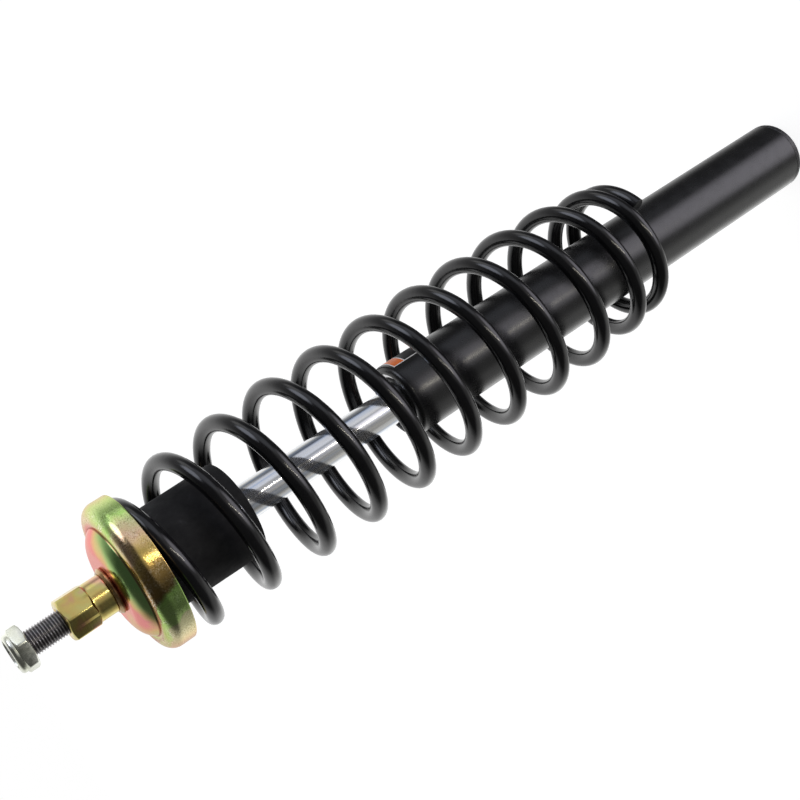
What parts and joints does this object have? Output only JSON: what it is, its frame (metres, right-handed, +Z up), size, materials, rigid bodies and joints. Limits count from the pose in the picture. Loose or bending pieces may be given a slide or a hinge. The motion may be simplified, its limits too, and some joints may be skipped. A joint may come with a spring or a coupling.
{
  "type": "coil-over strut cartridge",
  "caption": "Coil-over strut cartridge with a plain clamp tube, chromed rod, bump stop, stamped spring cup and threaded stud.",
  "frame": {"origin": "centre of the flat face of the closed lower end of the tube", "axes": "+Z up the strut axis, from the closed end to the threaded stud; X and Y across it"},
  "size_m": [0.1019, 0.1019, 0.5837],
  "materials": {
    "black_paint": "satin black paint",
    "black_powder_coat": "semi-gloss black powder coat",
    "rod_chrome": "ground and polished hard chrome, plain steel thread",
    "yellow_zinc": "yellow zinc with rainbow sheen",
    "white_zinc": "white zinc",
    "copper_brown": "copper-brown, satin",
    "bump_rubber": "matte black elastomer",
    "seal_rubber": "black rubber",
    "bright_steel": "bright",
    "sintered_iron": "sintered, matte",
    "bush_bronze": "satin",
    "nylon": "matte",
    "label": "printed film"
  },
  "bodies": {
    "tube": {"strut_tube": "black_paint", "bottom_cap": "black_paint", "label": "label", "retaining_ring": "bright_steel", "wiper_seal": "seal_rubber", "rod_seal": "seal_rubber", "rod_guide": "sintered_iron", "guide_bush": "bush_bronze", "guide_o_ring": "seal_rubber", "pressure_tube": "bright_steel", "base_valve_body": "sintered_iron", "base_valve_discs": "bright_steel", "base_valve_spring": "bright_steel", "base_valve_bolt": "bright_steel", "coil_spring": "black_powder_coat"},
    "piston_band": {"piston_band": "nylon"},
    "rod": {"piston_rod": "rod_chrome", "piston": "sintered_iron", "compression_shims": "bright_steel", "rebound_shims": "bright_steel", "piston_washer": "bright_steel", "piston_nut": "bright_steel", "stop_ring": "bright_steel", "top_out_bumper": "nylon", "spring_cup": "yellow_zinc", "clamp_washer": "bright_steel", "neck_ring": "copper_brown", "collar_nut": "yellow_zinc", "bump_stop": "bump_rubber", "spring_isolator": "seal_rubber"},
    "lock_nut": {"lock_nut": "white_zinc", "lock_nut_insert": "nylon"}
  },
  "joints": [
    {"name": "rod_slide", "type": "slide", "parent": "tube", "child": "piston_band", "axis": [0, 0, 1], "range_m": [-0.108, 0], "stiffness_N_per_m": 11700, "springref_m": 0.02, "deforming": ["coil_spring"]},
    {"name": "rod_spin", "type": "hinge", "parent": "piston_band", "child": "rod", "pos_m": [0, 0, 0.27], "axis": [0, 0, 1], "continuous": true},
    {"name": "lock_nut_off", "type": "slide", "parent": "rod", "child": "lock_nut", "axis": [0, 0, 1], "range_m": [0, 0.06]}
  ]
}
